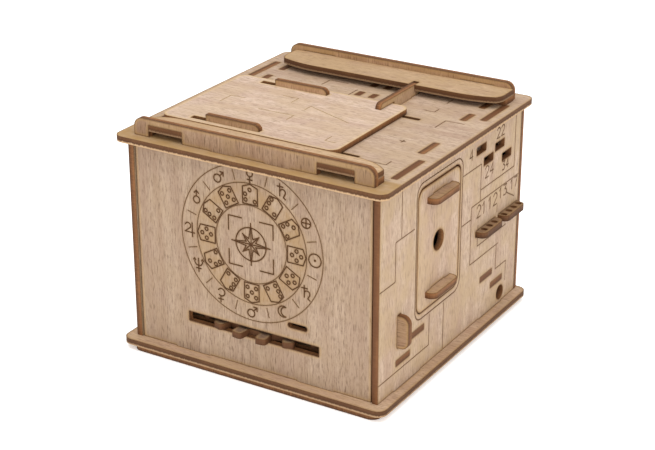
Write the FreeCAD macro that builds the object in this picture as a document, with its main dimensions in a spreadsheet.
import FreeCAD, Part
import math
import operator
import os
import Sketcher

# A flat-panel puzzle box of laser-cut 3 mm birch plywood, in millimetres.
# Frame: origin at the middle of the underside, +Z up, -Y the face with the dial,
# +X the face with the hatch.  Every panel is a plate lying across one axis.

doc = FreeCAD.newDocument("puzzle_box")
sheet = doc.addObject("Spreadsheet::Sheet", "sizes")

OPERATIONS = {"+": operator.add, "-": operator.sub, "*": operator.mul, "/": operator.truediv}


class Size:
    """A length with its value and the sheet formula that gives it."""

    def __init__(self, value, formula):
        self.value = value
        self.formula = formula

    def join(self, other, sign):
        if not isinstance(other, Size):
            other = Size(other, str(float(other)))
        value = OPERATIONS[sign](self.value, other.value)
        return Size(value, "(%s %s %s)" % (self.formula, sign, other.formula))

    def __add__(self, other):
        return self.join(other, "+")

    def __sub__(self, other):
        return self.join(other, "-")

    def __mul__(self, other):
        return self.join(other, "*")

    def __truediv__(self, other):
        return self.join(other, "/")

    def __neg__(self):
        return self * -1


DIMENSIONS = """
ply 3.0                 sheet thickness of every panel
slider_ply 2.7          sanded sheet of the sliding top plate
slide_gap 0.15          above and below a piece that slides
side_gap 0.2            beside a piece that slides in a slot
fit_gap 0.06            beside a tab glued in its mortise
body_width 138          outside, across the side panels
body_depth 148          outside, front to back
wall_height 104         between the base plate and the top plate
base_left -74.2         base plate's edges
base_right 74.8
base_front -80
base_rear 75.8
top_reach 74.2          top plate's edges, X both ways from the middle
top_front -79.1
top_rear 75
plate_corner 5          corner radius of the base and top plates
foot_left -69           foot plate's edges
foot_right 71
foot_front -78.5
foot_rear 73.8
front_recess 0.6        front panel behind the side panels' front edges
panel_gap 0.8           saw kerf beside the front panel
wall_tab_front -59.1    side panels' tabs, Y of the front one
wall_tab_rear 29.6      Y of the rear one
wall_tab_length 26
end_tab_start 25        front and back panels' tabs, X of the right one
end_tab_length 20
lower_shelf_z 18.3      shelf under the dial wheel
upper_shelf_z 26.2      shelf over the dial wheel
lower_shelf_front -66
upper_shelf_front -50
shelf_tab_length 13.5
lower_tab_front -57.2   Y of the lower shelf's tabs
lower_tab_rear 42
upper_tab_front -43.4   Y of the upper shelf's tabs
upper_tab_rear 29.7
lower_back_tab 27       X of the shelves' tabs in the back panel
upper_back_tab 8
wheel_y -25.2           dial wheel's axis
wheel_z 22.3            underside of the dial wheel
wheel_root 46.3         radius between the knobs
wheel_tip 53.2          radius over the knobs
wheel_knobs 24
knob_width 6
knob_corner 1.8
axle_radius 3
axle_clearance 0.05
washer_radius 9
washer_ply 0.8
dial_slot_width 74      slot in the front panel for the knobs
dial_slot_bottom 22
dial_slot_height 5.2
token_slot_left 20      small slot in the front panel
token_slot_bottom 33.3
token_slot_length 10.6
token_slot_height 2.6
token_slot_corner 1.2
hatch_front -37.95      hatch, low Y edge
hatch_bottom 36.4
hatch_length 42
hatch_height 63.1
hatch_gap 0.35
hatch_top_gap 0.9
hatch_corner 5
peephole_y -17.25
peephole_z 68.1
peephole_radius 5.2
hatch_grip_start -29.6
hatch_grip_length 25.2
hatch_grip_reach 5.3
hatch_grip_corner 3.5
hatch_tenon_length 14
upper_grip_z 90.8
lower_grip_z 42.5
finger_hole_y 53.7      round hole low on the right panel
finger_hole_z 11.4
finger_hole_radius 3.9
code_window_length 10.4 four windows on the right panel
code_window_height 4.24
first_window_y 20.7
first_window_z 97.7
second_window_y 29.1
second_window_z 89.8
third_window_y 41.4
third_window_z 93.3
fourth_window_y 49.8
fourth_window_z 85.5
key_y -56.2             lock key, an upright plate in the right panel
key_z 27.7
key_height 16.7
key_reach 6
key_corner 4
key_inner 44            X of its inner end
key_stop_length 6
key_stop_bottom 26.3
key_stop_height 21.7
code_key_z 54           two notched keys in the right panel
front_code_y 22.8
rear_code_y 47.9
code_key_length 22
code_key_reach 5.3
code_key_corner 3.5
code_key_inner 45       X of their inner ends
notch_x 69.5
notch_length 3.3
notch_width 2.5
notch_pitch 5.6
notch_corner 1.2
peg_radius 1.5
peg_height 9
peg_x 49.4
side_wall_x 57.4        inner walls beside the right and left panels
side_wall_front 20
side_wall_rear 70.8
side_tab_front 24.6
side_tab_rear 45.3
side_tab_length 10.4
inner_window_y 47
inner_window_z 83
inner_window_length 15
inner_window_height 16
partition_x 2.5         pair of walls in the middle
partition_front 28
partition_rear 60
partition_tab_front 30.6
partition_tab_rear 46.3
partition_tab_length 5.9
hanger_x 61.2           stop hanging behind the hatch
hanger_front -30
hanger_length 25.6
hanger_bottom 88
hanger_tab_front -25.1
hanger_tab_length 15.7
rail_width 131.2        upright rails on the top plate
rail_height 9
rail_corner 4.5
rear_rail_shift 1.2     rear rail's middle, to the right of the box's middle
front_rail_y -73
rear_rail_y 63.7
rail_window_left -57.2
rail_window_right 36
rail_window_length 19.2
rail_tab_start 8
rail_tab_length 14
front_ledge_depth 12.2
front_ledge_curve 24    radius of the ledge's free corners
front_curve_length 17   length of the ledge that each curve takes
front_ledge_corner 2    radius where each curve meets the ledge's end
rear_ledge_left -60.8
rear_ledge_right 67.3
rear_ledge_depth 19.7
rear_ledge_curve 60
rear_curve_length 23
rear_ledge_corner 10
spacer_length 8.4
front_spacer_depth 5.5
rear_spacer_depth 9.4
slider_left -67.5       sliding plate on the top plate
slider_length 99
slider_front -50
slider_depth 71.8
slider_corner 5
slider_travel 11.5
slider_pin_x 27.8       pins under the sliding plate, in grooves of the top plate
front_pin_y -44
rear_pin_y 14.7
slider_pin_radius 1
slider_pin_depth 2.2     below the top plate's upper face
top_grip_left -43       two grips standing on the sliding plate
top_grip_length 30.5
top_grip_height 6
top_grip_corner 2.9
top_grip_travel 8.8
front_grip_y -46.5
rear_grip_y 14.9
keeper_width 8          keepers under the top plate
keeper_margin 2
stem_depth 4.2          stems below the top plate
bar_x 18.5              hold-down bar over the sliding plate's rear edge
bar_front 9.8
bar_length 39.6
bar_height 6
bar_corner 2.9
bar_heel 23.5           Y where the bar steps down to the top plate
bar_foot_start 29
bar_foot_length 12
"""


class Sizes:
    """Writes the driving dimensions into the sheet and keeps each one by name."""

    def __init__(self, table):
        for row, line in enumerate(table.strip().splitlines(), start=1):
            alias, value, *note = line.split(None, 2)
            sheet.set("A%d" % row, value)
            sheet.setAlias("A%d" % row, alias)
            sheet.set("B%d" % row, " ".join(note))
            setattr(self, alias, Size(float(value), "sizes." + alias))


s = Sizes(DIMENSIONS)
ZERO = Size(0.0, "0")
doc.recompute()


# ---- sketches ---------------------------------------------------------------

ORIGIN = (-1, 1)
START, END, CENTRE = 1, 2, 3


def drive(sketch, kind, *place_and_size):
    """Adds a dimension to the sketch and ties it to the sheet."""
    size = place_and_size[-1]
    index = sketch.addConstraint(Sketcher.Constraint(kind, *place_and_size[:-1], size.value))
    sketch.setExpression("Constraints[%d]" % index, size.formula)


def rect(left, bottom, width, height, radius=None):
    """A rectangle for a sketch, with its corners rounded where a radius is given."""

    def draw(sketch):
        x0, y0 = left.value, bottom.value
        x1, y1 = x0 + width.value, y0 + height.value
        r = radius.value if radius else 0.0
        runs = [((x0 + r, y0), (x1 - r, y0)), ((x1, y0 + r), (x1, y1 - r)),
                ((x1 - r, y1), (x0 + r, y1)), ((x0, y1 - r), (x0, y0 + r))]
        sides = [sketch.addGeometry(Part.LineSegment(FreeCAD.Vector(*a, 0), FreeCAD.Vector(*b, 0)))
                 for a, b in runs]
        low, right, high, near = sides
        for side, direction in zip(sides, ("Horizontal", "Vertical") * 2):
            sketch.addConstraint(Sketcher.Constraint(direction, side))
        if radius:
            centres = [(x1 - r, y0 + r), (x1 - r, y1 - r), (x0 + r, y1 - r), (x0 + r, y0 + r)]
            round_corners(sketch, sides, centres, radius)
        else:
            for side, following in zip(sides, sides[1:] + sides[:1]):
                sketch.addConstraint(Sketcher.Constraint("Coincident", side, END, following, START))
        drive(sketch, "DistanceX", *ORIGIN, near, START, left)
        drive(sketch, "DistanceY", *ORIGIN, low, START, bottom)
        drive(sketch, "DistanceX", near, START, right, START, width)
        drive(sketch, "DistanceY", low, START, high, START, height)

    return draw


def round_corners(sketch, sides, centres, radius):
    """Joins the four sides of a rectangle with equal arcs that meet them smoothly."""
    arcs = []
    for turn, (x, y) in enumerate(centres):
        circle = Part.Circle(FreeCAD.Vector(x, y, 0), FreeCAD.Vector(0, 0, 1), radius.value)
        arc = Part.ArcOfCircle(circle, (turn - 1) * math.pi / 2, turn * math.pi / 2)
        arcs.append(sketch.addGeometry(arc))
    for side, arc, following in zip(sides, arcs, sides[1:] + sides[:1]):
        sketch.addConstraint(Sketcher.Constraint("Tangent", side, END, arc, START))
        sketch.addConstraint(Sketcher.Constraint("Tangent", arc, END, following, START))
    for arc in arcs[1:]:
        sketch.addConstraint(Sketcher.Constraint("Equal", arcs[0], arc))
    drive(sketch, "Radius", arcs[0], radius)


def circle(x, y, radius):
    """A circle for a sketch."""

    def draw(sketch):
        centre = FreeCAD.Vector(x.value, y.value, 0)
        index = sketch.addGeometry(Part.Circle(centre, FreeCAD.Vector(0, 0, 1), radius.value))
        drive(sketch, "DistanceX", *ORIGIN, index, CENTRE, x)
        drive(sketch, "DistanceY", *ORIGIN, index, CENTRE, y)
        drive(sketch, "Radius", index, radius)

    return draw


# ---- plates -----------------------------------------------------------------

CUTS = []
OFFSET_AXIS = {"XY": "z", "XZ": "y", "YZ": "x"}


def sketch_in(body, plane, shapes):
    """Draws the shapes in one sketch on the body's own origin plane."""
    sketch = body.newObject("Sketcher::SketchObject", body.Label + "_sketch")
    support = [item for item in body.Origin.OriginFeatures if item.Role == plane + "_Plane"]
    sketch.AttachmentSupport = [(support[0], "")]
    sketch.MapMode = "FlatFace"
    for draw in shapes:
        draw(sketch)
    return sketch


def add(body, plane, thickness, shapes):
    """Pads the shapes by the sheet thickness, towards the positive side of the plane."""
    pad = body.newObject("PartDesign::Pad", body.Label + "_pad")
    pad.Profile = sketch_in(body, plane, shapes)
    pad.setExpression("Length", thickness.formula)
    pad.Reversed = plane == "XZ"
    return pad


def cut(body, plane, shapes):
    """Cuts the shapes right through the plate."""
    before = body.Tip
    pocket = body.newObject("PartDesign::Pocket", body.Label + "_pocket")
    pocket.Profile = sketch_in(body, plane, shapes)
    pocket.Type = "ThroughAll"
    pocket.Midplane = True
    CUTS.append((before, pocket))


def plate(name, plane, place, *steps, thickness=None):
    """A flat plate across one axis; place is its low face, steps add and cut in turn."""
    body = doc.addObject("PartDesign::Body", name)
    body.Label = name
    for step, shapes in steps:
        if step == "add":
            add(body, plane, thickness or s.ply, shapes)
        else:
            cut(body, plane, shapes)
    body.setExpression(".Placement.Base." + OFFSET_AXIS[plane], place.formula)
    return body


def mortise(left, bottom, width, height):
    """A hole for a glued tab, a little larger all round."""
    gap = s.fit_gap
    return rect(left - gap, bottom - gap, width + gap * 2, height + gap * 2)


def slot(left, bottom, width, height):
    """A hole for a sliding piece, with clearance all round."""
    gap = s.side_gap
    return rect(left - gap, bottom - gap, width + gap * 2, height + gap * 2)


# ---- levels and faces of the box --------------------------------------------

base_z = s.ply
wall_z = s.ply * 2
roof_z = wall_z + s.wall_height
deck_z = roof_z + s.ply
side_x = s.body_width / 2
wall_x = side_x - s.ply
front_y = -s.body_depth / 2
back_y = s.body_depth / 2 - s.ply
wall_tabs_y = (s.wall_tab_front, s.wall_tab_rear)
end_tabs_x = (s.end_tab_start, -s.end_tab_start - s.end_tab_length)


# ---- base and walls -----------------------------------------------------------

def side_panel_mortises():
    """Holes in a side panel for the tabs of the two shelves."""
    holes = []
    for y in (s.lower_tab_front, s.lower_tab_rear):
        holes.append(mortise(y, s.lower_shelf_z, s.shelf_tab_length, s.ply))
    for y in (s.upper_tab_front, s.upper_tab_rear):
        holes.append(mortise(y, s.upper_shelf_z, s.shelf_tab_length, s.ply))
    return holes


def side_panel(name, place, *more_cuts):
    """A side panel, whose tabs go through the base plate and the top plate."""
    outline = rect(front_y, wall_z, s.body_depth - s.ply, s.wall_height)
    tabs = [rect(y, base_z, s.wall_tab_length, s.wall_height + s.ply * 2) for y in wall_tabs_y]
    steps = [("add", [outline]), ("add", tabs), ("cut", side_panel_mortises())]
    return plate(name, "YZ", place, *steps, *more_cuts)


def make_base():
    width = s.base_right - s.base_left
    depth = s.base_rear - s.base_front
    plate("foot_plate", "XY", ZERO,
          ("add", [rect(s.foot_left, s.foot_front, s.foot_right - s.foot_left, s.foot_rear - s.foot_front,
                        s.plate_corner)]))
    holes = [mortise(x, y, s.ply, s.wall_tab_length) for x in (wall_x, -side_x) for y in wall_tabs_y]
    holes += [mortise(x, front_y + s.front_recess, s.end_tab_length, s.ply) for x in end_tabs_x]
    holes += [mortise(x, back_y, s.end_tab_length, s.ply) for x in end_tabs_x]
    plate("base_plate", "XY", base_z,
          ("add", [rect(s.base_left, s.base_front, width, depth, s.plate_corner)]), ("cut", holes))


def make_walls():
    side_panel("left_panel", -side_x)
    hatch_hole = rect(s.hatch_front - s.hatch_gap, s.hatch_bottom - s.hatch_gap,
                      s.hatch_length + s.hatch_gap * 2,
                      s.hatch_height + s.hatch_gap + s.hatch_top_gap, s.hatch_corner)
    windows = [rect(y, z, s.code_window_length, s.code_window_height)
               for y, z in ((s.first_window_y, s.first_window_z), (s.second_window_y, s.second_window_z),
                            (s.third_window_y, s.third_window_z), (s.fourth_window_y, s.fourth_window_z))]
    slots = [slot(s.key_y, s.key_z, s.ply, s.key_height),
             slot(s.front_code_y, s.code_key_z, s.code_key_length, s.ply),
             slot(s.rear_code_y, s.code_key_z, s.code_key_length, s.ply),
             circle(s.finger_hole_y, s.finger_hole_z, s.finger_hole_radius)]
    side_panel("right_panel", wall_x, ("cut", [hatch_hole]), ("cut", windows), ("cut", slots))

    front_width = s.body_width - s.ply * 2 - s.panel_gap * 2
    plate("front_panel", "XZ", front_y + s.front_recess,
          ("add", [rect(-front_width / 2, wall_z, front_width, s.wall_height)]),
          ("add", [rect(x, base_z, s.end_tab_length, s.ply * 2) for x in end_tabs_x]),
          ("cut", [rect(-s.dial_slot_width / 2, s.dial_slot_bottom, s.dial_slot_width, s.dial_slot_height),
                   rect(s.token_slot_left, s.token_slot_bottom, s.token_slot_length, s.token_slot_height,
                        s.token_slot_corner)]))

    shelf_holes = [mortise(x, z, s.shelf_tab_length, s.ply) for x, z in back_tabs()]
    plate("back_panel", "XZ", back_y,
          ("add", [rect(-side_x, wall_z, s.body_width, s.wall_height)]),
          ("add", [rect(x, base_z, s.end_tab_length, s.wall_height + s.ply * 2) for x in end_tabs_x]),
          ("cut", shelf_holes))


def back_tabs():
    """X and Z of the shelves' tabs in the back panel."""
    places = []
    for x, z in ((s.lower_back_tab, s.lower_shelf_z), (s.upper_back_tab, s.upper_shelf_z)):
        places += [(x, z), (-x - s.shelf_tab_length, z)]
    return places


# ---- shelves and dial wheel -----------------------------------------------------

def shelf(name, place, front, side_tabs, back_tab):
    """A shelf between the walls, its tabs flush with the outside of the walls."""
    width = s.body_width - s.ply * 2
    overlap = s.ply * 2
    side = [rect(-side_x, y, s.body_width, s.shelf_tab_length) for y in side_tabs]
    rear = [rect(x, back_y - overlap, s.shelf_tab_length, s.ply + overlap)
            for x in (back_tab, -back_tab - s.shelf_tab_length)]
    plate(name, "XY", place,
          ("add", [rect(-width / 2, front, width, back_y - front)]),
          ("add", side), ("add", rear),
          ("cut", [circle(ZERO, s.wheel_y, s.axle_radius + s.axle_clearance)]))


def dowel(name, x, y, bottom, radius, length):
    """An upright round stick."""
    stick = doc.addObject("Part::Cylinder", name)
    stick.Label = name
    stick.setExpression("Radius", radius.formula)
    stick.setExpression("Height", length.formula)
    for axis, place in zip("xyz", (x, y, bottom)):
        stick.setExpression(".Placement.Base." + axis, place.formula)
    return stick


def ring(name, place, outer, inner, thickness):
    """A washer on the dial wheel's axis."""
    washer = doc.addObject("Part::Cut", name)
    washer.Base = dowel(name + "_disc", ZERO, s.wheel_y, place, outer, thickness)
    washer.Tool = dowel(name + "_bore", ZERO, s.wheel_y, place, inner, thickness)
    washer.Label = name
    return washer


def make_dial():
    shelf("lower_shelf", s.lower_shelf_z, s.lower_shelf_front, (s.lower_tab_front, s.lower_tab_rear),
          s.lower_back_tab)
    shelf("upper_shelf", s.upper_shelf_z, s.upper_shelf_front, (s.upper_tab_front, s.upper_tab_rear),
          s.upper_back_tab)

    axle_length = s.upper_shelf_z + s.ply - s.lower_shelf_z
    axle = dowel("wheel_axle", ZERO, s.wheel_y, s.lower_shelf_z, s.axle_radius, axle_length)
    bore = s.axle_radius + s.axle_clearance
    washers = [ring("lower_washer", s.lower_shelf_z + s.ply, s.washer_radius, bore, s.washer_ply),
               ring("upper_washer", s.upper_shelf_z - s.washer_ply, s.washer_radius, bore, s.washer_ply)]

    wheel = doc.addObject("PartDesign::Body", "dial_wheel")
    wheel.Label = "dial_wheel"
    add(wheel, "XY", s.ply, [circle(ZERO, ZERO, s.wheel_root)])
    knob_root = s.wheel_root - s.knob_width
    knob = add(wheel, "XY", s.ply, [rect(knob_root, -s.knob_width / 2, s.wheel_tip - knob_root,
                                         s.knob_width, s.knob_corner)])
    doc.recompute()
    knobs = wheel.newObject("PartDesign::PolarPattern", "dial_wheel_knobs")
    knobs.Originals = [knob]
    knobs.Axis = (knob.Profile[0], ["N_Axis"])
    knobs.Angle = 360
    knobs.setExpression("Occurrences", s.wheel_knobs.formula)
    wheel.Tip = knobs
    cut(wheel, "XY", [circle(ZERO, ZERO, bore)])
    half_step = 180.0 / s.wheel_knobs.value
    wheel.Placement = FreeCAD.Placement(FreeCAD.Vector(0, 0, 0), FreeCAD.Rotation(half_step, 0, 0))
    wheel.setExpression(".Placement.Base.y", s.wheel_y.formula)
    wheel.setExpression(".Placement.Base.z", s.wheel_z.formula)
    return washers + [axle]


# ---- inner walls ------------------------------------------------------------------

def inner_wall(name, place, front, rear, bottom, tab_starts, tab_length, *cuts):
    """An upright inner wall, hung from the top plate by its tabs."""
    plate(name, "YZ", place,
          ("add", [rect(front, bottom, rear - front, roof_z - bottom)]),
          ("add", [rect(y, roof_z - s.ply, tab_length, s.ply * 2) for y in tab_starts]),
          *cuts)


def make_inner_walls():
    floor = s.upper_shelf_z + s.ply
    side_tabs = (s.side_tab_front, s.side_tab_rear)
    key_slot = slot(s.front_code_y, s.code_key_z, s.rear_code_y + s.code_key_length - s.front_code_y, s.ply)
    inner_window = rect(s.inner_window_y, s.inner_window_z, s.inner_window_length, s.inner_window_height)
    inner_wall("right_inner_wall", s.side_wall_x, s.side_wall_front, s.side_wall_rear, floor,
               side_tabs, s.side_tab_length, ("cut", [key_slot, inner_window]))
    inner_wall("left_inner_wall", -s.side_wall_x - s.ply, s.side_wall_front, s.side_wall_rear, floor,
               side_tabs, s.side_tab_length)
    partition_tabs = (s.partition_tab_front, s.partition_tab_rear)
    for name, place in (("right_partition", s.partition_x), ("left_partition", -s.partition_x - s.ply)):
        inner_wall(name, place, s.partition_front, s.partition_rear, floor, partition_tabs,
                   s.partition_tab_length)
    inner_wall("hatch_stop", s.hanger_x, s.hanger_front, s.hanger_front + s.hanger_length, s.hanger_bottom,
               (s.hanger_tab_front,), s.hanger_tab_length)


# ---- top plate, rails and ledges -----------------------------------------------------

ledge_z = deck_z + s.ply
front_ledge_y = s.front_rail_y + s.ply
rail_tabs_x = (s.rail_tab_start, -s.rail_tab_start - s.rail_tab_length)
rail_windows_x = (s.rail_window_left, s.rail_window_right)
stem_length = s.top_grip_length


def make_top_plate():
    tabs = [mortise(x, y, s.ply, s.wall_tab_length) for x in (wall_x, -side_x) for y in wall_tabs_y]
    tabs += [mortise(x, back_y, s.end_tab_length, s.ply) for x in end_tabs_x]
    tabs += [mortise(x, s.front_rail_y, s.rail_tab_length, s.ply) for x in rail_tabs_x]
    tabs += [mortise(x + s.rear_rail_shift, s.rear_rail_y, s.rail_tab_length, s.ply) for x in rail_tabs_x]
    tabs += [mortise(x, y, s.ply, s.side_tab_length)
             for x in (s.side_wall_x, -s.side_wall_x - s.ply) for y in (s.side_tab_front, s.side_tab_rear)]
    tabs += [mortise(x, y, s.ply, s.partition_tab_length)
             for x in (s.partition_x, -s.partition_x - s.ply)
             for y in (s.partition_tab_front, s.partition_tab_rear)]
    tabs.append(mortise(s.hanger_x, s.hanger_tab_front, s.ply, s.hanger_tab_length))
    tabs.append(mortise(s.bar_x, s.bar_foot_start, s.ply, s.bar_foot_length))

    slots = [slot(s.top_grip_left - s.top_grip_travel, y,
                  stem_length + s.top_grip_travel + s.slider_travel, s.ply)
             for y in (s.front_grip_y, s.rear_grip_y)]
    slots += [slot(s.slider_pin_x - s.slider_pin_radius, y - s.slider_pin_radius,
                   s.slider_pin_radius * 2 + s.slider_travel, s.slider_pin_radius * 2)
              for y in (s.front_pin_y, s.rear_pin_y)]
    plate("top_plate", "XY", roof_z,
          ("add", [rect(-s.top_reach, s.top_front, s.top_reach * 2, s.top_rear - s.top_front,
                        s.plate_corner)]),
          ("cut", tabs), ("cut", slots))


def rail(name, place, middle, window_bottom):
    """An upright rail across the top plate, with windows that take the ledge's tabs."""
    below = s.rail_corner + s.ply
    left = middle - s.rail_width / 2
    windows = [mortise(middle + x, window_bottom, s.rail_window_length, ledge_z + s.ply - window_bottom)
               for x in rail_windows_x]
    plate(name, "XZ", place,
          ("add", [rect(left, deck_z - below, s.rail_width, s.rail_height + below, s.rail_corner)]),
          ("cut", [rect(left - s.rail_width, deck_z - below * 2, s.rail_width * 3, below * 2)]),
          ("add", [rect(middle + x, roof_z, s.rail_tab_length, s.ply * 2) for x in rail_tabs_x]),
          ("cut", windows))


def ledge(name, rail_side, middle, left, right, depth, curve, curve_length, corner, facing, *cuts):
    """A shelf along a rail, its free edge swept back in a curve at each end; tabs go through the rail."""
    blank_left = left + curve_length - curve
    blank_width = right - left + (curve - curve_length) * 2
    blank_depth = curve * 2 + depth
    if facing > 0:
        blank_start = rail_side + depth - blank_depth
        trim_start = rail_side - blank_depth
    else:
        blank_start = rail_side - depth
        trim_start = rail_side
    outside = rect(blank_left - s.ply, blank_start - s.ply, blank_width + s.ply * 2, blank_depth + s.ply * 2)
    plate(name, "XY", ledge_z,
          ("add", [rect(blank_left, blank_start, blank_width, blank_depth, curve)]),
          ("cut", [outside, rect(left, blank_start, right - left, blank_depth, corner)]),
          ("cut", [rect(left - s.ply, trim_start, right - left + s.ply * 2, blank_depth)]),
          ("add", [rect(middle + x, rail_side - s.ply, s.rail_window_length, s.ply * 2)
                   for x in rail_windows_x]),
          *cuts)


def spacers(row, left, right, y, depth):
    """Two blocks that carry the ends of a ledge."""
    for side, x in (("right", right - s.spacer_length), ("left", left)):
        plate("%s_%s_spacer" % (row, side), "XY", deck_z,
              ("add", [rect(x, y, s.spacer_length, depth)]))


def make_rails():
    rail("front_rail", s.front_rail_y, ZERO, deck_z)
    ledge("front_ledge", front_ledge_y, ZERO, -s.rail_width / 2, s.rail_width / 2, s.front_ledge_depth,
          s.front_ledge_curve, s.front_curve_length, s.front_ledge_corner, 1)
    spacers("front", -s.rail_width / 2, s.rail_width / 2, front_ledge_y, s.front_spacer_depth)

    rail("rear_rail", s.rear_rail_y, s.rear_rail_shift, ledge_z)
    notch_start = s.rear_rail_y - s.rear_ledge_depth - s.ply
    bar_rear = s.bar_front + s.bar_length
    ledge("rear_ledge", s.rear_rail_y, s.rear_rail_shift, s.rear_ledge_left, s.rear_ledge_right,
          s.rear_ledge_depth, s.rear_ledge_curve, s.rear_curve_length, s.rear_ledge_corner, -1,
          ("cut", [mortise(s.bar_x, notch_start, s.ply, bar_rear - notch_start)]))
    spacers("rear", s.rear_ledge_left, s.rear_ledge_right, s.rear_rail_y - s.rear_spacer_depth,
            s.rear_spacer_depth)


# ---- sliding plate, its grips and the hold-down bar ------------------------------------------

slider_z = deck_z + s.slide_gap
slider_top = slider_z + s.slider_ply
head_bottom = slider_top + s.slide_gap
stem_bottom = roof_z - s.stem_depth
keeper_z = roof_z - s.slide_gap - s.ply


def upright_with_foot(name, plane, place, start, length, top, corner, foot, *more):
    """An upright plate standing on the top; foot is the Y or X, length and lowest Z of its foot."""
    foot_start, foot_length, foot_bottom = foot
    height = top - head_bottom
    plate(name, plane, place,
          ("add", [rect(start, head_bottom - corner, length, height + corner, corner)]),
          ("cut", [rect(start - corner, head_bottom - corner * 2, length + corner * 2, corner * 2)]),
          ("add", [rect(foot_start, foot_bottom, foot_length, head_bottom + s.ply / 2 - foot_bottom)]),
          *more)


def keeper(name, left, front, width, depth, foot):
    """A flat keeper under the top plate that holds a foot down; the foot passes through it."""
    plate(name, "XY", keeper_z, ("add", [rect(left, front, width, depth)]), ("cut", [foot]))


def make_slider():
    grip_slots = [slot(s.top_grip_left - s.top_grip_travel, y, stem_length + s.top_grip_travel, s.ply)
                  for y in (s.front_grip_y, s.rear_grip_y)]
    plate("sliding_plate", "XY", slider_z,
          ("add", [rect(s.slider_left, s.slider_front, s.slider_length, s.slider_depth, s.slider_corner)]),
          ("cut", grip_slots), thickness=s.slider_ply)

    pin_bottom = deck_z - s.slider_pin_depth
    pins = [dowel("sliding_plate_%s_pin" % row, s.slider_pin_x, y, pin_bottom, s.slider_pin_radius,
                  slider_z - pin_bottom)
            for row, y in (("front", s.front_pin_y), ("rear", s.rear_pin_y))]

    grip_top = deck_z + s.top_grip_height
    square_end = rect(s.top_grip_left, head_bottom, s.top_grip_length / 2, grip_top - head_bottom)
    for row, y in (("front", s.front_grip_y), ("rear", s.rear_grip_y)):
        upright_with_foot(row + "_grip", "XZ", y, s.top_grip_left, s.top_grip_length, grip_top,
                          s.top_grip_corner, (s.top_grip_left, stem_length, stem_bottom),
                          ("add", [square_end]))
        keeper(row + "_grip_keeper", s.top_grip_left - s.keeper_margin,
               y - (s.keeper_width - s.ply) / 2, stem_length + s.keeper_margin * 2, s.keeper_width,
               mortise(s.top_grip_left, y, stem_length, s.ply))
    return pins


def make_hold_down_bar():
    """An upright bar glued into the top plate and the rear ledge, its nose over the sliding plate."""
    heel = rect(s.bar_heel, deck_z, s.bar_front + s.bar_length - s.bar_heel, s.bar_height - s.bar_corner)
    upright_with_foot("hold_down_bar", "YZ", s.bar_x, s.bar_front, s.bar_length, deck_z + s.bar_height,
                      s.bar_corner, (s.bar_foot_start, s.bar_foot_length, roof_z), ("add", [heel]))


# ---- hatch and keys on the right side --------------------------------------------------------

def make_hatch():
    tenon_start = s.hatch_grip_start + (s.hatch_grip_length - s.hatch_tenon_length) / 2
    grips = (("upper", s.upper_grip_z), ("lower", s.lower_grip_z))
    plate("hatch_plate", "YZ", wall_x,
          ("add", [rect(s.hatch_front, s.hatch_bottom, s.hatch_length, s.hatch_height, s.hatch_corner)]),
          ("cut", [mortise(tenon_start, z, s.hatch_tenon_length, s.ply) for row, z in grips]),
          ("cut", [circle(s.peephole_y, s.peephole_z, s.peephole_radius)]))
    for row, z in grips:
        outward_plate("hatch_%s_grip" % row, z, s.hatch_grip_start, s.hatch_grip_length,
                      s.hatch_grip_reach, s.hatch_grip_corner,
                      ("add", [rect(wall_x, tenon_start, s.ply * 2, s.hatch_tenon_length)]))


def outward_plate(name, place, start, length, reach, corner, *more):
    """A level plate standing out of the right side, its outer corners rounded."""
    plate(name, "XY", place,
          ("add", [rect(side_x - corner * 2, start, reach + corner * 2, length, corner)]),
          ("cut", [rect(side_x - corner * 4, start - corner, corner * 4, length + corner * 2)]),
          *more)


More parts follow.
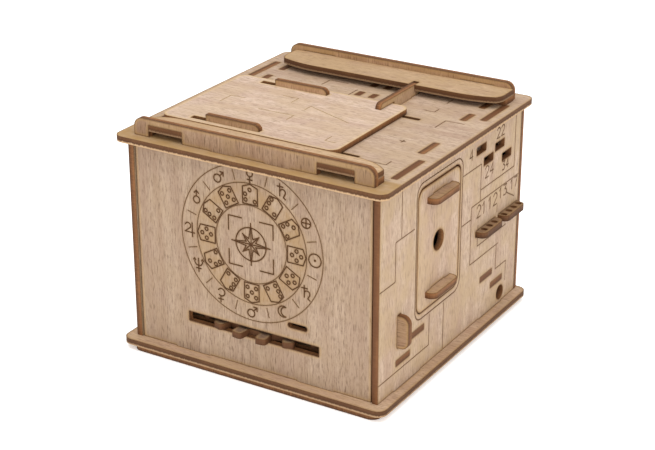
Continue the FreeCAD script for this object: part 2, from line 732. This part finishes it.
def make_lock_key():
    reach_x = side_x + s.key_reach
    plate("lock_key", "XZ", s.key_y,
          ("add", [rect(s.key_inner, s.key_z, reach_x - s.key_inner, s.key_height, s.key_corner)]),
          ("add", [rect(s.key_inner, s.key_stop_bottom, s.key_stop_length, s.key_stop_height)]))


def make_code_keys():
    """The two notched keys, each stopped from inside by an upright peg."""
    pegs = []
    shank_end = side_x + s.code_key_corner / 2
    peg_start = s.code_key_z - (s.peg_height - s.ply) / 2
    for row, y, notches in (("front", s.front_code_y, 3), ("rear", s.rear_code_y, 4)):
        middle = y + s.code_key_length / 2
        spread = s.notch_pitch * ((notches - 1) / 2)
        notch_y = [middle - spread + s.notch_pitch * step - s.notch_width / 2 for step in range(notches)]
        outward_plate(row + "_code_key", s.code_key_z, y, s.code_key_length, s.code_key_reach,
                      s.code_key_corner,
                      ("add", [rect(s.code_key_inner, y, side_x + s.slide_gap - s.code_key_inner,
                                    s.code_key_length)]),
                      ("cut", [rect(s.notch_x, edge, s.notch_length, s.notch_width, s.notch_corner)
                               for edge in notch_y]),
                      ("cut", [circle(s.peg_x, middle, s.peg_radius + s.fit_gap)]))
        pegs.append(dowel(row + "_code_key_peg", s.peg_x, middle, peg_start, s.peg_radius, s.peg_height))
    return pegs


# ---- build, check and write ---------------------------------------------------------------------

make_base()
make_walls()
loose_parts = make_dial()
make_inner_walls()
make_top_plate()
make_rails()
loose_parts += make_slider()
make_hold_down_bar()
make_hatch()
make_lock_key()
loose_parts += make_code_keys()
doc.recompute()

for item in doc.Objects:
    if "Invalid" in item.State or "Error" in item.State:
        raise RuntimeError("%s failed to recompute: %s" % (item.Label, item.State))
for before, pocket in CUTS:
    if not pocket.Shape.Volume < before.Shape.Volume - 0.5:
        raise RuntimeError("%s removed nothing" % pocket.Label)

nodes = [item for item in doc.Objects if item.TypeId == "PartDesign::Body"] + loose_parts
for node in nodes:
    if node.Shape.isNull() or not node.Shape.isValid() or len(node.Shape.Solids) != 1:
        raise RuntimeError("%s isn't one valid solid" % node.Label)

os.makedirs("parts", exist_ok=True)
for node in nodes:
    node.Shape.exportStep("parts/%s.step" % node.Label)
print(len(nodes), "nodes written")
